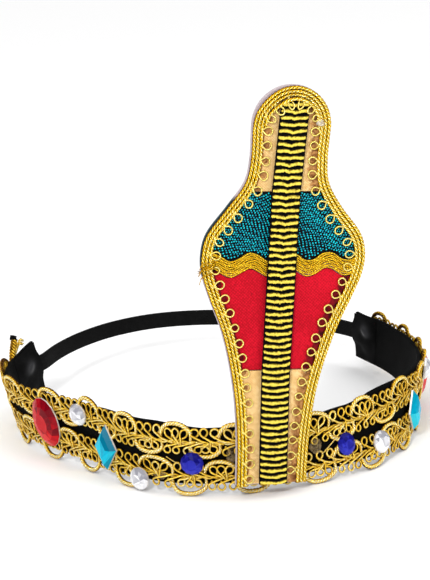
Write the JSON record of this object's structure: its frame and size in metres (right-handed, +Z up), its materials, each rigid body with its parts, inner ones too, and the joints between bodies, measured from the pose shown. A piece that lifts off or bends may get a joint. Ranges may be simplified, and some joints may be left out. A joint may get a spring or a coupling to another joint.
{
  "type": "egyptian headband",
  "caption": "Costume headband with an upright hooded-cobra plaque, gold scroll braid and coloured stones on a black cloth band, closed behind the head by a flat elastic.",
  "frame": {"origin": "middle of the footprint, on the surface the headband rests on", "axes": "+Z up along the plaque, -Y out of the front of the wearer's head, +X to the right in the front view"},
  "size_m": [0.1804, 0.1872, 0.1593],
  "materials": {
    "black_cloth": "matt plain weave",
    "black_elastic": "ribbed, slightly shiny",
    "gold_braid": "metallic thread",
    "gold_cord": "twisted metallic thread",
    "blue_stone": "gloss",
    "white_stone": "gloss, foil-backed",
    "turquoise_stone": "gloss, foil-backed",
    "red_stone": "gloss, foil-backed",
    "board_wrap": "matt",
    "beige_cloth": "fine satin grain",
    "teal_cloth": "glitter dots on black",
    "red_cloth": "matt weave",
    "ribbed_ribbon": "fuzzy ribs on black"
  },
  "bodies": {
    "root": {"band": "black_cloth", "elastic_strap": "black_elastic", "trim_upper": "gold_braid", "trim_lower": "gold_braid", "gem_blue_left": "blue_stone", "gem_blue_right": "blue_stone", "gem_white_low_left": "white_stone", "gem_white_low_right": "white_stone", "gem_turquoise_left": "turquoise_stone", "gem_turquoise_right": "turquoise_stone", "gem_white_high_left": "white_stone", "gem_white_high_right": "white_stone", "gem_red_left": "red_stone", "gem_red_right": "red_stone", "cobra_board": "board_wrap", "edge_cord": "gold_cord", "panel_beige_bottom": "beige_cloth", "panel_red": "red_cloth", "gold_wave": "gold_braid", "panel_teal": "teal_cloth", "panel_beige_top": "beige_cloth", "centre_ribbon": "ribbed_ribbon"}
  },
  "joints": []
}
